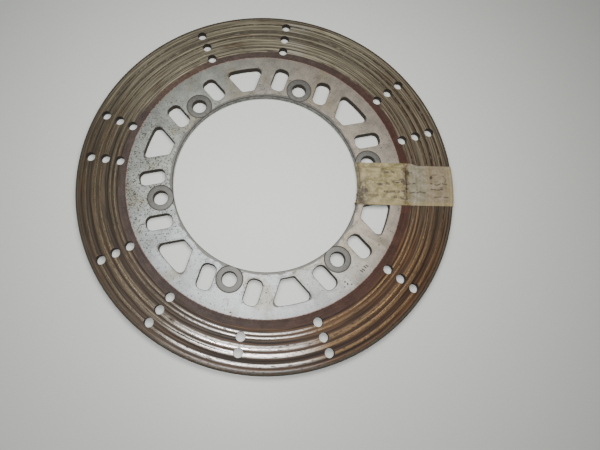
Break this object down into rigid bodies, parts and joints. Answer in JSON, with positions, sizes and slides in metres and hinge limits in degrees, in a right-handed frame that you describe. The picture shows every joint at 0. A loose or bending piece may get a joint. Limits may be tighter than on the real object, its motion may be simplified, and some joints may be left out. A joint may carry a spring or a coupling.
{
  "type": "brake disc rotor",
  "caption": "Flat one-piece motorcycle brake disc with a drilled, worn friction band, a silver-painted slotted carrier, and a taped-on paper label.",
  "frame": {"origin": "on the disc's axis, level with its underside, where it stands when laid flat", "axes": "+Z along the disc's axis, out of the labelled face; +X lies under the label, 5.0 degrees from its centreline"},
  "size_m": [0.2676, 0.267, 0.0061],
  "materials": {
    "worn_steel": "satin",
    "silver_paint": "satin",
    "aged_paper": "matte",
    "yellowed_tape": "satin"
  },
  "bodies": {
    "root": {"rotor_disc": "worn_steel", "paper_label": "aged_paper", "tape_inner_strip": "yellowed_tape", "tape_outer_strip": "yellowed_tape"}
  },
  "joints": []
}
